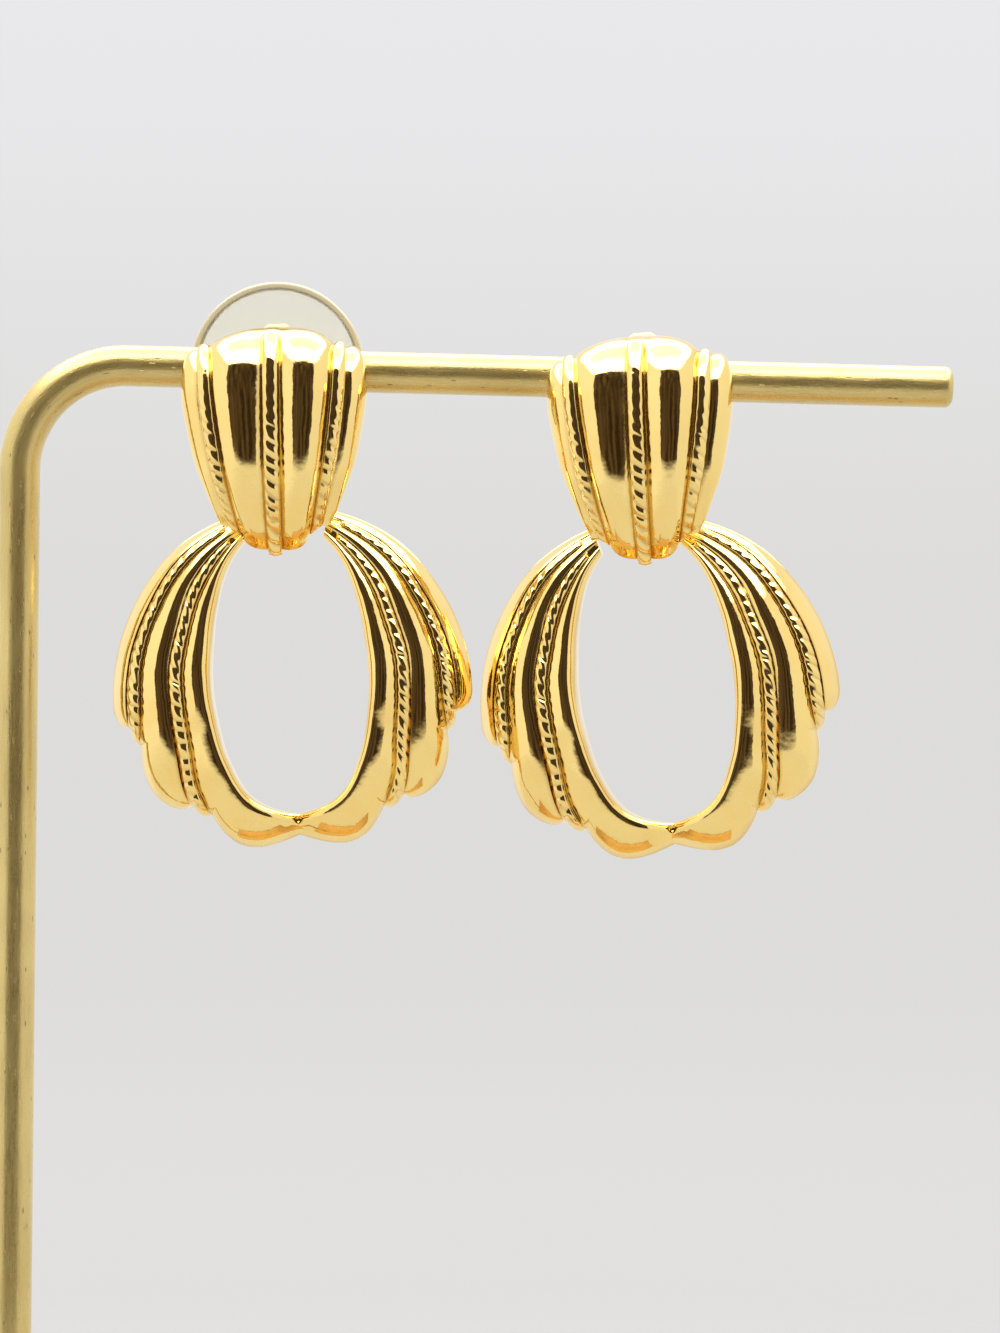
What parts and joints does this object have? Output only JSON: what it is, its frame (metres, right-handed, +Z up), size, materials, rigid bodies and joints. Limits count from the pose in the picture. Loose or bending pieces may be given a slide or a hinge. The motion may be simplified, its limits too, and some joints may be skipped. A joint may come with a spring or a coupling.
{
  "type": "pair of door knocker earrings on a bar stand",
  "caption": "Ribbed dome studs with rope lines and hinged oval fan-winged drops, hung by their posts on a bent rod stand.",
  "frame": {"origin": "centre of the stand base's underside", "axes": "+Z up, +X along the bar from its bend to its free end, fronts of the earrings towards -Y"},
  "size_m": [0.092, 0.05, 0.1061],
  "materials": {
    "gold_plate": "mirror-polished gold plate",
    "satin_brass": "drawn and lightly brushed",
    "clear_plastic": "milky clear"
  },
  "bodies": {
    "stand": {"stand_base": "satin_brass", "stand_rod": "satin_brass", "left_stud": "gold_plate", "left_clutch_disc": "clear_plastic", "left_clutch": "gold_plate", "right_stud": "gold_plate", "right_clutch": "gold_plate"},
    "left_drop": {"left_drop": "gold_plate"},
    "right_drop": {"right_drop": "gold_plate"}
  },
  "joints": [
    {"name": "left_drop_hinge", "type": "hinge", "parent": "stand", "child": "left_drop", "pos_m": [-0.01468, -0.00196, 0.08885], "axis": [0.998, -0.0087, 0.0628], "range_deg": [-30, 90]},
    {"name": "right_drop_hinge", "type": "hinge", "parent": "stand", "child": "right_drop", "pos_m": [0.01117, -0.00262, 0.08838], "axis": [0.9864, -0.1124, 0.1201], "range_deg": [-30, 90]}
  ]
}
